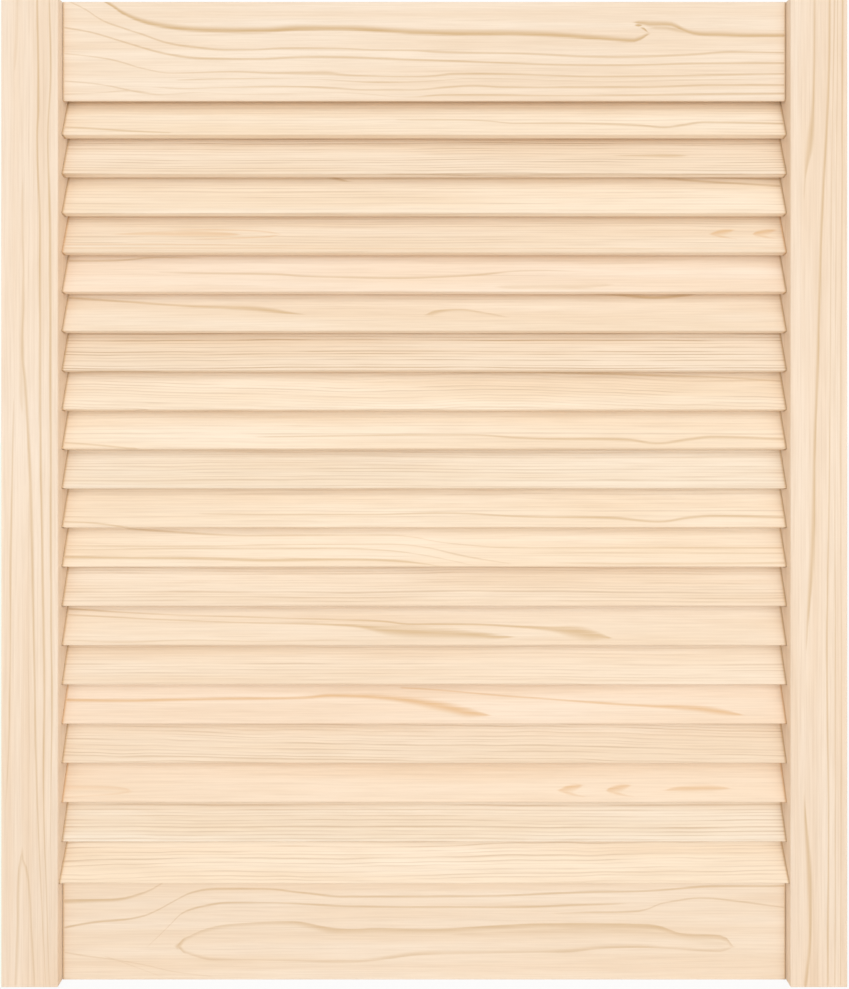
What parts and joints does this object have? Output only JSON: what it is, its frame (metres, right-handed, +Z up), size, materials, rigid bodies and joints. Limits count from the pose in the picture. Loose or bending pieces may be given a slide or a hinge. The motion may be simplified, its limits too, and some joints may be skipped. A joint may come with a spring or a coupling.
{
  "type": "louvred cabinet door",
  "caption": "Raw pine cabinet door: upright stiles and cross rails frame fixed slanted slats that screen a cupboard and let air through.",
  "frame": {"origin": "bottom centre: on the plane of the stiles' lower ends, mid-width and mid-thickness", "axes": "+X across the width to the right as seen from the front, +Y through the thickness to the back, +Z up"},
  "size_m": [0.594, 0.021, 0.695],
  "materials": {
    "stile_pine": "planed and sanded, unfinished",
    "rail_pine": "planed and sanded, unfinished",
    "slat_pine": "planed and sanded, unfinished",
    "dowel_beech": "fluted, unfinished"
  },
  "bodies": {
    "root": {"stile_left": "stile_pine", "stile_right": "stile_pine", "rail_top": "rail_pine", "rail_bottom": "rail_pine", "slat_01": "slat_pine", "slat_02": "slat_pine", "slat_03": "slat_pine", "slat_04": "slat_pine", "slat_05": "slat_pine", "slat_06": "slat_pine", "slat_07": "slat_pine", "slat_08": "slat_pine", "slat_09": "slat_pine", "slat_10": "slat_pine", "slat_11": "slat_pine", "slat_12": "slat_pine", "slat_13": "slat_pine", "slat_14": "slat_pine", "slat_15": "slat_pine", "slat_16": "slat_pine", "slat_17": "slat_pine", "slat_18": "slat_pine", "slat_19": "slat_pine", "slat_20": "slat_pine", "dowel_top_left_1": "dowel_beech", "dowel_top_left_2": "dowel_beech", "dowel_top_right_1": "dowel_beech", "dowel_top_right_2": "dowel_beech", "dowel_bottom_left_1": "dowel_beech", "dowel_bottom_left_2": "dowel_beech", "dowel_bottom_right_1": "dowel_beech", "dowel_bottom_right_2": "dowel_beech"}
  },
  "joints": []
}
